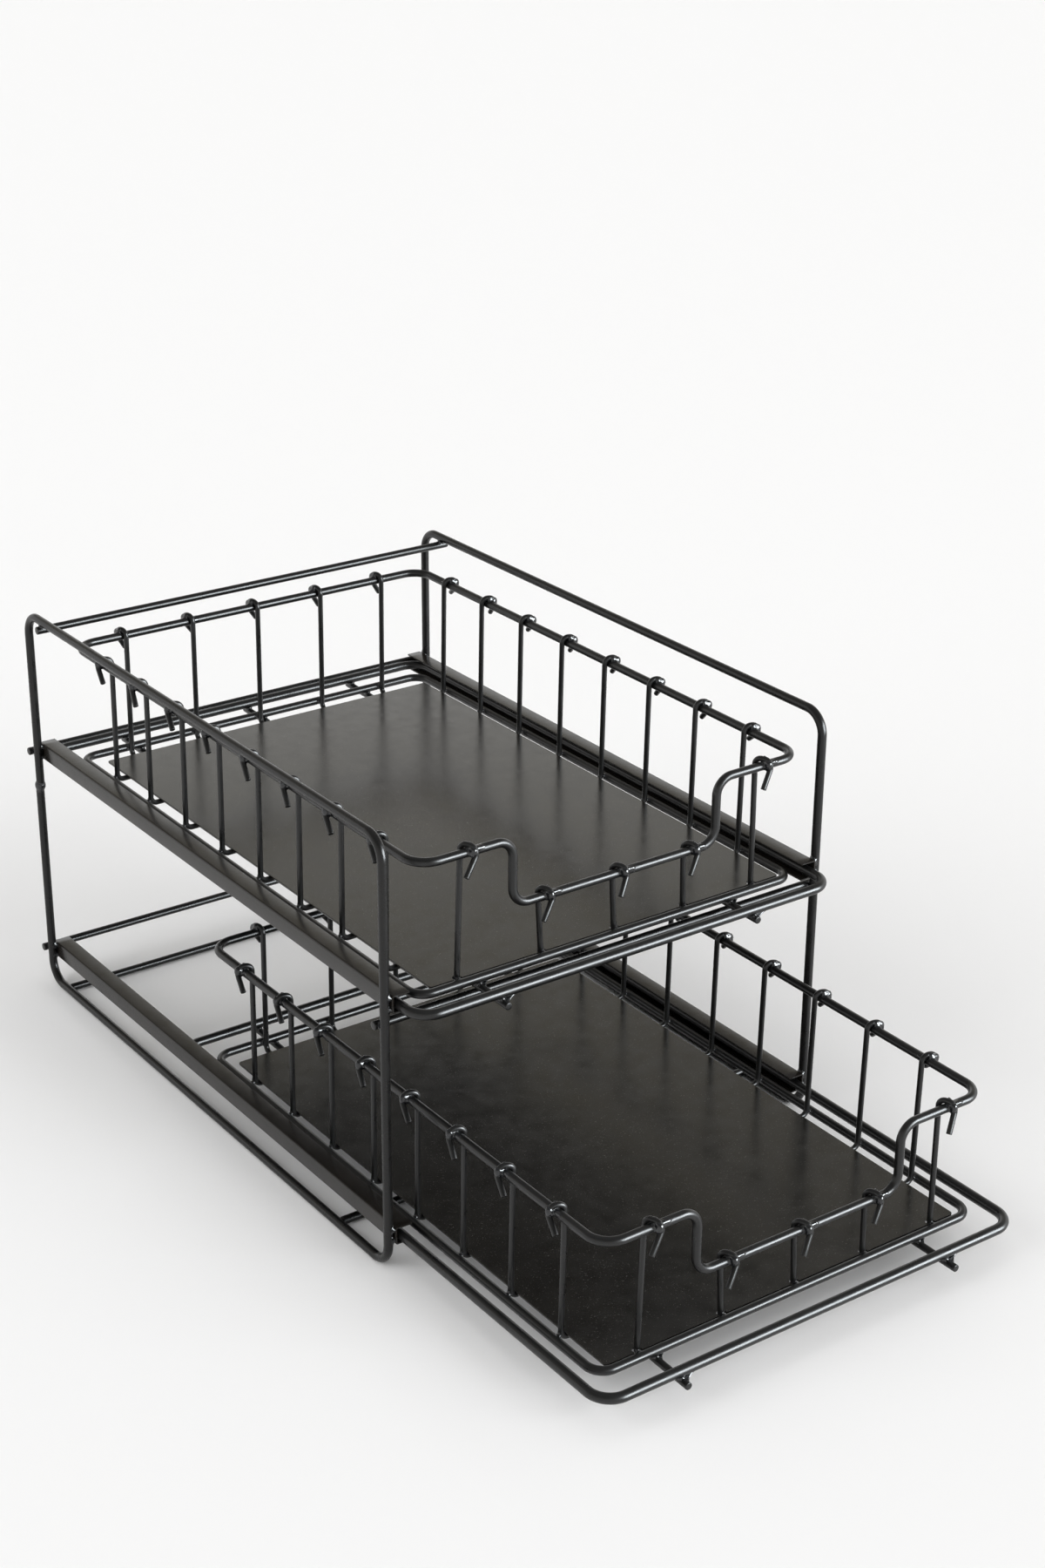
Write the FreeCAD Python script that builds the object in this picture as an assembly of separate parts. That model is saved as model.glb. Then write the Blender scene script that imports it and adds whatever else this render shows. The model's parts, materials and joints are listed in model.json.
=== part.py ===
import FreeCAD, Part
import math
import os

os.makedirs("parts", exist_ok=True)

V = FreeCAD.Vector

# Pull-out organiser: a wire frame with two levels of channel rails, and a wire basket
# sliding on each level. X is the width, Y runs front (-) to back (+), Z is up.
# The origin is on the floor, at the middle of the frame. Millimetres throughout.

# Wire gauges (diameters)
FRAME_WIRE = 5.2
RUNNER_WIRE = 5.8
RING_WIRE = 5.0
CROSS_WIRE = 4.8
UPRIGHT_WIRE = 3.2
TIE_ROD = 4.2

# Side frames: closed upright rings, one each side
FRAME_HALF_WIDTH = 145.0
FRAME_HALF_DEPTH = 200.0
FRAME_BOTTOM = FRAME_WIRE / 2
FRAME_TOP = FRAME_BOTTOM + 250.0
FRAME_BEND = 13.0
SPLICE_HEIGHT = 138.0
SPLICE_BEAD = 3.3

# Rails: C channels open towards the middle, welded inside the side frames
RAIL_SHEET = 1.0
RAIL_HEIGHT = 10.5
RAIL_FLANGE = 10.5
RAIL_WEB = FRAME_HALF_WIDTH - FRAME_WIRE / 2
RAIL_FRONT = -203.5
RAIL_BACK = 202.5
TIER_PITCH = 138.6
RAIL_BOTTOM = {"lower": 16.6, "upper": 16.6 + TIER_PITCH}

# Cross wires: name, y, z, half length
STUB_END = 149.0
BUTT_END = FRAME_HALF_WIDTH - FRAME_WIRE / 2
BEHIND_POST = (FRAME_WIRE + CROSS_WIRE) / 2
CROSS_WIRES = [
    ("rear_top_cross_wire", 180.0, FRAME_TOP - BEHIND_POST, STUB_END),
    ("rear_upper_cross_wire", FRAME_HALF_DEPTH + BEHIND_POST, 160.0, STUB_END),
    ("rear_lower_cross_wire", FRAME_HALF_DEPTH + BEHIND_POST, 23.0, STUB_END),
    ("rear_bottom_cross_wire", 180.0, FRAME_BOTTOM, BUTT_END),
    ("front_bottom_cross_wire", -149.0, FRAME_BOTTOM, BUTT_END),
    ("front_upper_cross_wire", -FRAME_HALF_DEPTH + BEHIND_POST, 147.0, STUB_END),
]

# Baskets. Their own zero is the middle of the runner's front wire: y back, z up from it.
RUNNER_LIFT = 4.2
RUNNER_HALF_WIDTH = 137.8
RUNNER_DEPTH = 421.0
RUNNER_BEND = 13.0
CLOSED_FRONT = -222.0
PULLED_OUT = {"lower": 157.5, "upper": 0.0}

RING_HALF_WIDTH = 125.85
BASE_FRONT = 20.5
BASE_BACK = 400.5
BASE_LEVEL = -0.4
BASE_BEND = 10.0

RIM_FRONT = 19.1
RIM_BACK = 399.3
RIM_LEVEL = 74.4
RIM_BEND = 13.0
DIP_LEVEL = 36.5
DIP_HALF_WIDTH = 67.5
DIP_BEND = 10.0

# Uprights are the legs of U-shaped wires, hooked over the rim at both ends. The U wires
# lie slightly askew, so the feet and the hooks are not quite opposite each other.
WELD_SINK = 0.02
RIM_TO_UPRIGHT = (RING_WIRE + UPRIGHT_WIRE) / 2 - WELD_SINK
FOOT_BEND = 4.0
FOOT_RUN = 6.0
SIDE_PITCH = 43.3
SIDE_COUNT = 8
SIDE_FOOT_SHIFT = {-1: -1.0, 1: 5.0}
SIDE_HOOK_SHIFT = {-1: -2.5, 1: 3.5}
FRONT_HOOK_PITCH = 48.75
FRONT_FEET = (-99.0, -45.0, 3.5, 51.0, 99.5)
REAR_PITCH = 46.5
END_COUNT = 5
DIP_UPRIGHTS = (1, 2, 3)
FLOOR_CROSS_LEVEL = -1.3
FLOOR_LONG_LEVEL = -4.5

# Hooks: how tight they turn, how far each has moved along the rim once outside, its tail
HOOK_TURN = 0.93 * RIM_TO_UPRIGHT
HOOK_DROP = 1.0
HOOK_TAIL_BEND = 2.5
HOOK_TAIL_OUT = 6.5
HOOK_TAIL_DOWN = 9.5
FRONT_SKEW = 4.0
FRONT_TAIL_SKEW = -3.0
REAR_SKEW = -2.0
REAR_TAIL_SKEW = 5.0
SIDE_SKEW = 2.0
SIDE_TAIL_SKEW = 6.0

# Tie rods under the floor: x at the front, and how far the tip reaches forward
TIE_ROD_LEVEL = -(RUNNER_WIRE + TIE_ROD) / 2 + WELD_SINK
TIE_ROD_TIPS = {
    "upper": {-1: (-88.0, -7.0), 1: (81.0, -4.5)},
    "lower": {-1: (-91.0, -7.0), 1: (87.0, -9.0)},
}
TIE_ROD_BACK_X = 84.0
TIE_ROD_BACK = 425.0
CENTRE_TIE_X = 5.0
CENTRE_TIE_FRONT = 396.0

# Liner: the flat sheet the goods stand on, loose on the floor wires. It reaches the front
# of the base ring, so its front edge is notched around the feet of the front uprights.
LINER_WIDTH = 235.0
LINER_MIDDLE = {"upper": 1.2, "lower": -2.0}
LINER_FRONT = 23.2
LINER_BACK = 384.0
LINER_SHEET = 1.2
LINER_BOTTOM = 0.3
LINER_NOTCH = 4.8
LINER_NOTCH_BACK = 26.8

SHORTEST_EDGE = 1e-4


def bent_path(points, bends):
    """Straight runs through the points, each inner corner rounded by its bend radius."""
    edges = []
    start = V(*points[0])
    for index in range(1, len(points) - 1):
        corner = V(*points[index])
        back = (V(*points[index - 1]) - corner).normalize()
        ahead = (V(*points[index + 1]) - corner).normalize()
        bend = bends[index - 1]
        half = back.getAngle(ahead) / 2
        reach = bend / math.tan(half)
        first = corner + back * reach
        last = corner + ahead * reach
        middle_way = (back + ahead).normalize()
        middle = corner + middle_way * (bend / math.sin(half) - bend)
        if (first - start).Length > SHORTEST_EDGE:
            edges.append(Part.makeLine(start, first))
        edges.append(Part.Arc(first, middle, last).toShape())
        start = last
    end = V(*points[-1])
    if (end - start).Length > SHORTEST_EDGE:
        edges.append(Part.makeLine(start, end))
    return edges


def bent_wire(points, bends, gauge):
    """A round wire along the rounded path: one straight or curved piece per edge, joined."""
    edges = bent_path(points, bends)
    begin = edges[0].valueAt(edges[0].FirstParameter)
    way = edges[0].tangentAt(edges[0].FirstParameter)
    profile = Part.Wire([Part.makeCircle(gauge / 2, begin, way)])
    solid = Part.Wire(edges).makePipeShell([profile], True, False)
    return Part.Solid(solid) if solid.ShapeType != "Solid" else solid


def straight_wire(start, end, gauge):
    """A cut length of round wire between two points."""
    run = V(*end) - V(*start)
    return Part.makeCylinder(gauge / 2, run.Length, V(*start), run)


def joined(first, second):
    """Two solids that share a face, made one."""
    both = first.fuse(second).removeSplitter()
    return both.Solids[0]


def flat_ring(half_width, front, back, level, bend, gauge):
    """A closed rectangular wire ring lying flat, made as a front and a back half."""
    middle = (front + back) / 2
    halves = []
    for end in (front, back):
        halves.append(bent_wire([
            (-half_width, middle, level),
            (-half_width, end, level),
            (half_width, end, level),
            (half_width, middle, level),
        ], [bend, bend], gauge))
    return joined(halves[0], halves[1])


def side_frame(side):
    """One closed upright ring, with the bead where the wire's two ends meet."""
    x = side * FRAME_HALF_WIDTH
    middle = (FRAME_BOTTOM + FRAME_TOP) / 2
    halves = []
    for level in (FRAME_BOTTOM, FRAME_TOP):
        halves.append(bent_wire([
            (x, -FRAME_HALF_DEPTH, middle),
            (x, -FRAME_HALF_DEPTH, level),
            (x, FRAME_HALF_DEPTH, level),
            (x, FRAME_HALF_DEPTH, middle),
        ], [FRAME_BEND, FRAME_BEND], FRAME_WIRE))
    ring = joined(halves[0], halves[1])
    bead = Part.makeSphere(SPLICE_BEAD, V(x, FRAME_HALF_DEPTH, SPLICE_HEIGHT))
    return joined(ring, bead)


def rail(side, tier):
    """One C channel, open towards the middle of the frame."""
    low = RAIL_BOTTOM[tier]
    high = low + RAIL_HEIGHT
    inner = RAIL_WEB - RAIL_SHEET
    edge = RAIL_WEB - RAIL_FLANGE
    outline = [
        (RAIL_WEB, low),
        (RAIL_WEB, high),
        (edge, high),
        (edge, high - RAIL_SHEET),
        (inner, high - RAIL_SHEET),
        (inner, low + RAIL_SHEET),
        (edge, low + RAIL_SHEET),
        (edge, low),
    ]
    corners = [V(side * x, RAIL_FRONT, z) for x, z in outline]
    face = Part.Face(Part.makePolygon(corners + [corners[0]]))
    return face.extrude(V(0, RAIL_BACK - RAIL_FRONT, 0))


def top_rim():
    """The basket's rim: a flat U around the sides and back, and a front with a dip."""
    corner_x = RING_HALF_WIDTH - RIM_BEND
    around = bent_wire([
        (-corner_x, RIM_FRONT, RIM_LEVEL),
        (-RING_HALF_WIDTH, RIM_FRONT, RIM_LEVEL),
        (-RING_HALF_WIDTH, RIM_BACK, RIM_LEVEL),
        (RING_HALF_WIDTH, RIM_BACK, RIM_LEVEL),
        (RING_HALF_WIDTH, RIM_FRONT, RIM_LEVEL),
        (corner_x, RIM_FRONT, RIM_LEVEL),
    ], [RIM_BEND] * 4, RING_WIRE)
    front = bent_wire([
        (-corner_x, RIM_FRONT, RIM_LEVEL),
        (-DIP_HALF_WIDTH, RIM_FRONT, RIM_LEVEL),
        (-DIP_HALF_WIDTH, RIM_FRONT, DIP_LEVEL),
        (DIP_HALF_WIDTH, RIM_FRONT, DIP_LEVEL),
        (DIP_HALF_WIDTH, RIM_FRONT, RIM_LEVEL),
        (corner_x, RIM_FRONT, RIM_LEVEL),
    ], [DIP_BEND] * 4, RING_WIRE)
    return joined(around, front)


def upright(foot, top, outward, along, skew, tail_skew):
    """One leg: from the floor wire up inside the rim, over it, and down outside as a tail.

    foot is the corner at the floor, top the rim's centre beside the leg. outward and
    along are unit directions across and along the rim; skew is how far along the rim
    the wire has moved once outside, and tail_skew where the tail ends.
    """
    foot = V(*foot)
    top = V(*top)
    outward = V(*outward)
    along = V(*along)
    crest = V(0, 0, RIM_TO_UPRIGHT)
    inside = top - outward * RIM_TO_UPRIGHT
    outside = top + outward * RIM_TO_UPRIGHT + along * skew
    points = [
        foot - outward * FOOT_RUN,
        foot,
        inside + crest,
        outside + crest,
        outside - V(0, 0, HOOK_DROP),
        top + outward * HOOK_TAIL_OUT + along * tail_skew - V(0, 0, HOOK_TAIL_DOWN),
    ]
    return bent_wire([tuple(p) for p in points],
                     [FOOT_BEND, HOOK_TURN, HOOK_TURN, HOOK_TAIL_BEND], UPRIGHT_WIRE)


def side_stations():
    """The nominal places of the crosswise wires, front to back."""
    middle = (RIM_FRONT + RIM_BACK) / 2
    return [middle + (index - (SIDE_COUNT - 1) / 2) * SIDE_PITCH
            for index in range(SIDE_COUNT)]


def end_station(index, pitch):
    """The place across of one of the evenly spaced lengthwise wires."""
    return (index - (END_COUNT - 1) / 2) * pitch


def side_uprights(side):
    """The eight legs of one long side."""
    x_foot = side * (RING_HALF_WIDTH - RIM_TO_UPRIGHT)
    legs = []
    for y in side_stations():
        legs.append(upright(
            (x_foot, y + SIDE_FOOT_SHIFT[side], FLOOR_CROSS_LEVEL),
            (side * RING_HALF_WIDTH, y + SIDE_HOOK_SHIFT[side], RIM_LEVEL),
            (side, 0, 0), (0, 1, 0), -side * SIDE_SKEW, side * SIDE_TAIL_SKEW))
    return Part.makeCompound(legs)


def front_uprights():
    """The five legs of the front; the middle three hook over the dip."""
    legs = []
    for index in range(END_COUNT):
        level = DIP_LEVEL if index in DIP_UPRIGHTS else RIM_LEVEL
        legs.append(upright(
            (FRONT_FEET[index], BASE_FRONT + RIM_TO_UPRIGHT, FLOOR_LONG_LEVEL),
            (end_station(index, FRONT_HOOK_PITCH), RIM_FRONT, level),
            (0, -1, 0), (1, 0, 0), FRONT_SKEW, FRONT_TAIL_SKEW))
    return Part.makeCompound(legs)


def rear_uprights():
    """The five legs of the back."""
    legs = []
    for index in range(END_COUNT):
        x = end_station(index, REAR_PITCH)
        legs.append(upright(
            (x, BASE_BACK - RIM_TO_UPRIGHT, FLOOR_LONG_LEVEL),
            (x, RIM_BACK, RIM_LEVEL),
            (0, 1, 0), (1, 0, 0), REAR_SKEW, REAR_TAIL_SKEW))
    return Part.makeCompound(legs)


def floor_cross_wires():
    """The floor parts of the crosswise wires."""
    end = RING_HALF_WIDTH - RIM_TO_UPRIGHT - FOOT_RUN
    wires = []
    for y in side_stations():
        wires.append(straight_wire((-end, y + SIDE_FOOT_SHIFT[-1], FLOOR_CROSS_LEVEL),
                                   (end, y + SIDE_FOOT_SHIFT[1], FLOOR_CROSS_LEVEL),
                                   UPRIGHT_WIRE))
    return Part.makeCompound(wires)


def floor_long_wires():
    """The floor parts of the lengthwise wires, under the crosswise ones."""
    front = BASE_FRONT + RIM_TO_UPRIGHT + FOOT_RUN
    back = BASE_BACK - RIM_TO_UPRIGHT - FOOT_RUN
    wires = []
    for index in range(END_COUNT):
        wires.append(straight_wire((FRONT_FEET[index], front, FLOOR_LONG_LEVEL),
                                   (end_station(index, REAR_PITCH), back, FLOOR_LONG_LEVEL),
                                   UPRIGHT_WIRE))
    return Part.makeCompound(wires)


def tie_rod(tier, side):
    """A long rod running front to back under the rings."""
    x, tip = TIE_ROD_TIPS[tier][side]
    return straight_wire((x, tip, TIE_ROD_LEVEL),
                         (side * TIE_ROD_BACK_X, TIE_ROD_BACK, TIE_ROD_LEVEL), TIE_ROD)


def centre_tie_rod():
    """The short rod that joins the rings in the middle of the back."""
    return straight_wire((CENTRE_TIE_X, CENTRE_TIE_FRONT, TIE_ROD_LEVEL),
                         (CENTRE_TIE_X, TIE_ROD_BACK, TIE_ROD_LEVEL), TIE_ROD)


def liner(tier):
    """The sheet that lies on the crosswise floor wires."""
    sheet = Part.makeBox(LINER_WIDTH, LINER_BACK - LINER_FRONT, LINER_SHEET,
                         V(LINER_MIDDLE[tier] - LINER_WIDTH / 2, LINER_FRONT, LINER_BOTTOM))
    for x in FRONT_FEET:
        sheet = sheet.cut(Part.makeBox(LINER_NOTCH, LINER_NOTCH_BACK - LINER_FRONT + 1.0,
                                       LINER_SHEET + 2.0,
                                       V(x - LINER_NOTCH / 2, LINER_FRONT - 1.0,
                                         LINER_BOTTOM - 1.0)))
    return sheet


def basket(tier):
    """Every piece of one tier's basket, by name, about the basket's own zero."""
    return {
        "runner_ring": flat_ring(RUNNER_HALF_WIDTH, 0.0, RUNNER_DEPTH, 0.0,
                                 RUNNER_BEND, RUNNER_WIRE),
        "base_ring": flat_ring(RING_HALF_WIDTH, BASE_FRONT, BASE_BACK, BASE_LEVEL,
                               BASE_BEND, RING_WIRE),
        "top_rim": top_rim(),
        "left_uprights": side_uprights(-1),
        "right_uprights": side_uprights(1),
        "front_uprights": front_uprights(),
        "rear_uprights": rear_uprights(),
        "floor_cross_wires": floor_cross_wires(),
        "floor_long_wires": floor_long_wires(),
        "left_tie_rod": tie_rod(tier, -1),
        "right_tie_rod": tie_rod(tier, 1),
        "centre_tie_rod": centre_tie_rod(),
        "liner": liner(tier),
    }


nodes = {
    "left_side_frame": side_frame(-1),
    "right_side_frame": side_frame(1),
}
for tier in ("upper", "lower"):
    nodes[tier + "_left_rail"] = rail(-1, tier)
    nodes[tier + "_right_rail"] = rail(1, tier)
for name, y, z, half in CROSS_WIRES:
    nodes[name] = straight_wire((-half, y, z), (half, y, z), CROSS_WIRE)

for tier in ("upper", "lower"):
    place = V(0, CLOSED_FRONT - PULLED_OUT[tier], RAIL_BOTTOM[tier] + RUNNER_LIFT)
    for name, shape in basket(tier).items():
        nodes[tier + "_" + name] = shape.translated(place)

for name, shape in nodes.items():
    shape.exportStep("parts/" + name + ".step")
    print(name, len(shape.Solids), shape.isValid(), round(shape.Volume, 1))
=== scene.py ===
import json
import math

import bmesh
import bpy
import numpy as np
from mathutils import Matrix, Vector

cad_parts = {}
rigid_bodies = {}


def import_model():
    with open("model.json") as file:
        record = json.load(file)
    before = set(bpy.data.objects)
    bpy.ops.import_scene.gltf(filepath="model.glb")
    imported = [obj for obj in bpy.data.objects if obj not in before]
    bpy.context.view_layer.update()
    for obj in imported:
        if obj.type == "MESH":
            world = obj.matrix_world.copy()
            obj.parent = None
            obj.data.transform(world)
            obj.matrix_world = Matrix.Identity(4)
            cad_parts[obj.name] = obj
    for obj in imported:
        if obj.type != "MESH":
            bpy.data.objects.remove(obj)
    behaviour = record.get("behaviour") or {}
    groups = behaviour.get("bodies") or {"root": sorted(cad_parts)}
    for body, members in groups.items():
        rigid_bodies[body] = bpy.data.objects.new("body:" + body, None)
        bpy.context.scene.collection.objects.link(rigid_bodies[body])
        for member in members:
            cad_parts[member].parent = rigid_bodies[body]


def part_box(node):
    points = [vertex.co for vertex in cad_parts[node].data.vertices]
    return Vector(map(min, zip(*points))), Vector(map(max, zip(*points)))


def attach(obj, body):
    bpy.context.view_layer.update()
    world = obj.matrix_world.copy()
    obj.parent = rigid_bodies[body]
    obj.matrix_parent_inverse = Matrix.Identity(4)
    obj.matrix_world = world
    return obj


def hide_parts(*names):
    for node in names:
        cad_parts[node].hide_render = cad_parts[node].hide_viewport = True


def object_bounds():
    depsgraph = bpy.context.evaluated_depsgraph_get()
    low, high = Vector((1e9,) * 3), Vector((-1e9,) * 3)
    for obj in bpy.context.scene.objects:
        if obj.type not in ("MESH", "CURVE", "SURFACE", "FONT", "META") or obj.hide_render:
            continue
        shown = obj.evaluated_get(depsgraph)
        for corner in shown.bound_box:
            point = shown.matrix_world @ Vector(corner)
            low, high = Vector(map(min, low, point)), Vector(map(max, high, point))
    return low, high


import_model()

CAD_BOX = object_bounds()
MM = 0.001
UP = np.array([0.0, 0.0, 1.0])
ALONG_X = np.array([1.0, 0.0, 0.0])
ALONG_Y = np.array([0.0, 1.0, 0.0])

# ---------------------------------------------------------------- sizes, in millimetres
# Levels, widths and wire gauges are measured on the CAD nodes; these values go with them.

# bends of the wires' centre lines
FRAME_BEND = 13.0
RUNNER_BEND = 13.0
BASE_BEND = 10.0
RIM_BEND = 13.0
DIP_BEND = 10.0
FOOT_BEND = 4.0
TAIL_BEND = 2.6

# the rim's dip in front, and which of the front wires stand in it
DIP_HALF_WIDTH = 67.5
DIP_UPRIGHTS = (1, 2, 3)

# Wires across a basket. By side, -1 the left and 1 the right: how far back their feet and
# their hooks are off the even pitch. Skews are how far a hook and its tail lean along the rim.
SIDE_COUNT = 8
SIDE_PITCH = 43.3
SIDE_FOOT_SHIFT = {-1: -1.0, 1: 5.0}
SIDE_HOOK_SHIFT = {-1: -2.5, 1: 3.5}
SIDE_SKEW = 2.0
SIDE_TAIL_SKEW = 6.0

# wires along a basket, in the same way
END_COUNT = 5
FRONT_HOOK_PITCH = 48.75
FRONT_FEET = (-99.0, -45.0, 3.5, 51.0, 99.5)
FRONT_SKEW = 4.0
FRONT_TAIL_SKEW = -3.0
REAR_PITCH = 46.5
REAR_SKEW = -2.0
REAR_TAIL_SKEW = 5.0

# a hook's turn over the rim, as a share of the distance between the two wires' middles
HOOK_TURN = 0.93
# how far the hook comes down outside before its tail, and the tail's reach out and down
HOOK_DROP = 1.1
SIDE_TAIL = (5.8, 8.6)
END_TAIL = (6.8, 10.8)
# no two hooks are bent alike: the most that each measure is off
SKEW_SPREAD = 0.35
TAIL_SKEW_SPREAD = 0.8
TAIL_OUT_SPREAD = (-0.5, 0.4)
TAIL_DOWN_SPREAD = (-0.8, 0.7)

# the tie rods lie slightly askew
TIE_TIP_X = {"upper": {-1: -88.0, 1: 81.0}, "lower": {-1: -91.0, 1: 87.0}}
TIE_BACK_X = 84.0

# the liner: notches around the front wires' feet, rounded corners and eased edges
NOTCH_WIDTH = 4.8
NOTCH_ROOM = 0.6
NOTCH_ROUND = 2.2
NOTCH_LIP = 0.5
SHEET_CORNER = 2.0
SHEET_EDGE = 0.22
SHEET_EDGE_STEP = 0.3

# the fixed frame: the side rings' half depth, and the butt weld in their rear posts
FRAME_DEPTH_HALF = 200.0
SPLICE_HEIGHT = 138.0
SPLICE_STEP = 1.1
SPLICE_GAP = 0.6
CROSS_NODES = ("rear_top_cross_wire", "rear_upper_cross_wire", "rear_lower_cross_wire",
               "rear_bottom_cross_wire", "front_bottom_cross_wire", "front_upper_cross_wire")

# the random draws' seeds
SEED_RANGE = 1 << 30
FRAME_SEED = 7
BASKET_SEEDS = {"upper": 11, "lower": 23}

# the rails' sheet, its bends outside and inside, and its eased edges; at the cut ends these
# are (distance from the end, inset)
RAIL_SHEET = 1.0
RAIL_CORNER = 1.3
RAIL_INNER_CORNER = 0.45
RAIL_EASE = 0.28
RAIL_END = ((0.0, 0.16), (0.05, 0.05), (0.16, 0.0))
RAIL_STATIONS = 24
RAIL_STATIONS_FROM = 6


def corners(node):
    """A CAD node's lowest and highest corner, in millimetres."""
    low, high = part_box(node)
    return np.array(low) / MM, np.array(high) / MM


# ---------------------------------------------------------------- mesh building

COAT_SLOT, WELD_SLOT = 0, 1
# points nearer than this are the same point
NO_GAP = 1e-3


class Shells:
    """Closed shells of one piece, gathered before they are made into a mesh."""

    def __init__(self):
        self.points = []
        self.faces = []
        self.slots = []
        self.count = 0

    def add(self, points, faces, slot=COAT_SLOT):
        self.points.append(np.asarray(points, float))
        self.faces += [tuple(int(i) + self.count for i in face) for face in faces]
        self.slots += [slot] * len(faces)
        self.count += len(points)

    def make(self, name, materials, body, record_slot, *nodes):
        mesh = bpy.data.meshes.new(name)
        # nothing may stand out of the CAD's box, however little
        points = np.clip(np.concatenate(self.points) * MM, *CAD_BOX)
        mesh.from_pydata(points.tolist(), [], self.faces)
        for coat in materials:
            mesh.materials.append(coat)
        mesh.polygons.foreach_set("material_index", self.slots)
        mesh.polygons.foreach_set("use_smooth", [True] * len(self.faces))
        mesh.update()
        piece = bpy.data.objects.new(name, mesh)
        bpy.context.scene.collection.objects.link(piece)
        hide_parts(*nodes)
        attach(piece, body)
        return piece


def unit(vector):
    return vector / np.linalg.norm(vector)


def between(first, last, share):
    return first + (last - first) * share


def rounded(points, bends, closed=False, arc_step=5.0, run_step=9.0):
    """Points along straight runs whose corners are rounded by the bend radii."""
    points = [np.array(p, float) for p in points]
    count = len(points)
    inner = range(count) if closed else range(1, count - 1)
    arcs = []
    for index, bend in zip(inner, bends):
        corner = points[index]
        back = unit(points[index - 1] - corner)
        ahead = unit(points[(index + 1) % count] - corner)
        half = math.acos(np.clip(back @ ahead, -1, 1)) / 2
        middle = corner + unit(back + ahead) * bend / math.sin(half)
        start = corner + back * bend / math.tan(half) - middle
        turn = math.pi - 2 * half
        side = unit(-back - start * (start @ -back) / (start @ start))
        steps = max(2, math.ceil(math.degrees(turn) / arc_step))
        arcs.append([middle + start * math.cos(a) + side * bend * math.sin(a)
                     for a in np.linspace(0, turn, steps + 1)])
    line = [] if closed else [points[0]]
    for arc in arcs:
        line = lengthen(line, arc[0], run_step) + arc[1:]
    if closed:
        line = lengthen(line, arcs[0][0], run_step)[:-1]
    else:
        line = lengthen(line, points[-1], run_step)
    return np.array(line)


def lengthen(line, target, run_step):
    """The line with a straight run to the target, cut into even steps."""
    if not line:
        return [target]
    gap = np.linalg.norm(target - line[-1])
    if gap < NO_GAP:
        return line
    steps = max(1, math.ceil(gap / run_step))
    start = line[-1]
    return line + [start + (target - start) * k / steps for k in range(1, steps + 1)]


def directions(line, closed):
    """The unit direction of travel at each point of a line."""
    if closed:
        ahead = np.roll(line, -1, 0) - line
        back = line - np.roll(line, 1, 0)
    else:
        ahead = np.diff(line, axis=0, append=2 * line[-1:] - line[-2:-1])
        back = np.diff(line, axis=0, prepend=2 * line[:1] - line[1:2])
    ahead /= np.linalg.norm(ahead, axis=1)[:, None]
    back /= np.linalg.norm(back, axis=1)[:, None]
    way = ahead + back
    return way / np.linalg.norm(way, axis=1)[:, None]


def tube(shells, line, radius, closed=False, sides=24, rounding=0.0):
    """A round wire along the line. Its cut ends have their edges rounded off."""
    ways = directions(line, closed)
    first = unit(np.cross(ways[0], UP if abs(ways[0] @ UP) < 0.9 else ALONG_X))
    normals = [first]
    for index in range(1, len(line)):
        carried = normals[-1] - ways[index] * (normals[-1] @ ways[index])
        normals.append(unit(carried))
    normals = np.array(normals)
    if closed:
        # spread the twist left over at the join along the whole ring
        last = unit(normals[-1] - ways[0] * (normals[-1] @ ways[0]))
        slip = math.atan2(np.cross(first, last) @ ways[0], first @ last)
        spread = -slip * np.arange(len(line)) / len(line)
        across = np.cross(ways, normals)
        normals = normals * np.cos(spread)[:, None] + across * np.sin(spread)[:, None]
    across = np.cross(ways, normals)
    turn = np.linspace(0, 2 * math.pi, sides, endpoint=False)
    circle = normals[:, None] * np.cos(turn)[:, None] + across[:, None] * np.sin(turn)[:, None]
    rings = [line[i] + circle[i] * radius for i in range(len(line))]
    if not closed:
        rings = (end_rings(line[0], -ways[0], circle[0], radius, rounding)[::-1]
                 + rings[1:-1]
                 + end_rings(line[-1], ways[-1], circle[-1], radius, rounding))
    count = len(rings)
    faces = band_faces(count, sides, closed)
    if not closed:
        faces += [tuple(range(sides))[::-1], tuple(range((count - 1) * sides, count * sides))]
    shells.add(np.concatenate(rings), faces, COAT_SLOT)


def band_faces(rings, sides, closed=False):
    """Faces between neighbouring rings of points, each ring joined to the one after it."""
    faces = []
    for ring in range(rings if closed else rings - 1):
        low, high = ring * sides, (ring + 1) % rings * sides
        for k in range(sides):
            m = (k + 1) % sides
            faces.append((low + k, low + m, high + m, high + k))
    return faces


# a cut end's edge: how far in, and how far back, as shares of the rounding
END_EDGE = ((0.0, 1.0), (0.066, 0.55), (0.264, 0.2), (0.616, 0.04))
# the end's flat face has one ring more, at this share of the wire's radius
END_FACE = 0.4


def end_rings(tip, outward, circle, radius, rounding):
    rings = [tip - outward * rounding * back + circle * (radius - rounding * inset)
             for inset, back in END_EDGE]
    return rings + [tip + circle * radius * END_FACE]


def sphere(level):
    """Unit directions and faces of an even sphere."""
    shape = bmesh.new()
    bmesh.ops.create_icosphere(shape, subdivisions=level, radius=1.0)
    shape.verts.ensure_lookup_table()
    points = np.array([v.co for v in shape.verts])
    faces = [tuple(v.index for v in f.verts) for f in shape.faces]
    shape.free()
    return points / np.linalg.norm(points, axis=1)[:, None], faces


WELD_LEVEL, SPLICE_LEVEL = 3, 4
SPHERES = {level: sphere(level) for level in (WELD_LEVEL, SPLICE_LEVEL)}

WAVE_OCTAVES = (1.0, 2.1, 4.3)
WAVES_EACH = 3
WAVE_STARTS = 6.3
WAVE_HEIGHT = 3.2


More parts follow.
